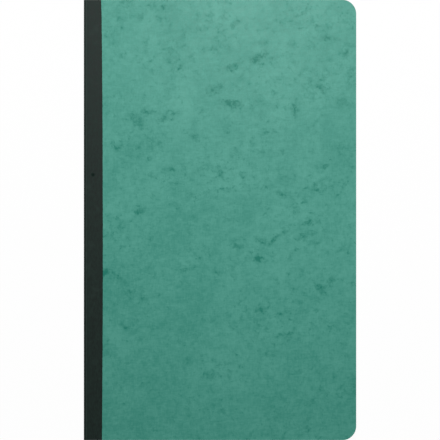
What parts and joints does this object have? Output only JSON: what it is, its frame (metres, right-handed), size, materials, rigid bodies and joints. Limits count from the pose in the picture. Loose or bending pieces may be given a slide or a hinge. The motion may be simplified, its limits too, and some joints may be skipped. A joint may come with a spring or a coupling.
{
  "type": "register book",
  "caption": "Section-sewn register book with flush-cut mottled pressboard covers, a dark cloth spine and rounded fore-edge corners; it opens at both covers, both flyleaves and the middle.",
  "frame": {"origin": "centre of the closed book's outline, on the outer face of the back cover", "axes": "+X from the spine to the fore-edge, +Y from the tail to the head, +Z from the back cover to the front cover"},
  "size_m": [0.204, 0.33, 0.0137],
  "materials": {
    "pressboard": "calendered green pressboard with a darker mottle and a satin surface",
    "bookcloth": "fine dark green-black bookcloth",
    "ledger_paper": "cream ledger paper",
    "endpaper": "plain uncoated endpaper",
    "mull": "open starched cotton spine lining",
    "glue": "dried flexible bookbinding glue",
    "sewing_thread": "waxed linen thread"
  },
  "bodies": {
    "rear_block": {"section_4": "ledger_paper", "section_5": "ledger_paper", "section_6": "ledger_paper", "thread_4": "sewing_thread", "thread_5": "sewing_thread", "thread_6": "sewing_thread", "back_spine_cloth": "bookcloth", "back_spine_lining": "mull", "back_spine_glue": "glue"},
    "middle_leaf": {"middle_leaf": "ledger_paper"},
    "front_block": {"section_1": "ledger_paper", "section_2": "ledger_paper", "section_3": "ledger_paper", "thread_1": "sewing_thread", "thread_2": "sewing_thread", "thread_3": "sewing_thread", "front_spine_cloth": "bookcloth", "front_spine_lining": "mull", "front_spine_glue": "glue"},
    "front_flyleaf": {"front_flyleaf": "endpaper"},
    "front_cover": {"front_board": "pressboard", "front_cover_cloth": "bookcloth", "front_pastedown": "endpaper"},
    "back_flyleaf": {"back_flyleaf": "endpaper"},
    "back_cover": {"back_board": "pressboard", "back_cover_cloth": "bookcloth", "back_pastedown": "endpaper"}
  },
  "joints": [
    {"name": "middle_leaf_turn", "type": "hinge", "parent": "rear_block", "child": "middle_leaf", "pos_m": [-0.1022, 0, 0.00688], "axis": [0, -1, 0], "range_deg": [0, 180]},
    {"name": "front_block_turn", "type": "hinge", "parent": "middle_leaf", "child": "front_block", "pos_m": [-0.1022, 0, 0.00688], "axis": [0, -1, 0], "range_deg": [0, 180]},
    {"name": "front_flyleaf_turn", "type": "hinge", "parent": "front_block", "child": "front_flyleaf", "pos_m": [-0.1022, 0, 0.0123], "axis": [0, -1, 0], "range_deg": [0, 180]},
    {"name": "front_cover_turn", "type": "hinge", "parent": "front_flyleaf", "child": "front_cover", "pos_m": [-0.1022, 0, 0.0123], "axis": [0, -1, 0], "range_deg": [0, 180]},
    {"name": "back_flyleaf_turn", "type": "hinge", "parent": "rear_block", "child": "back_flyleaf", "pos_m": [-0.1022, 0, 0.00145], "axis": [0, 1, 0], "range_deg": [0, 180]},
    {"name": "back_cover_turn", "type": "hinge", "parent": "back_flyleaf", "child": "back_cover", "pos_m": [-0.1022, 0, 0.00145], "axis": [0, 1, 0], "range_deg": [0, 180]}
  ]
}
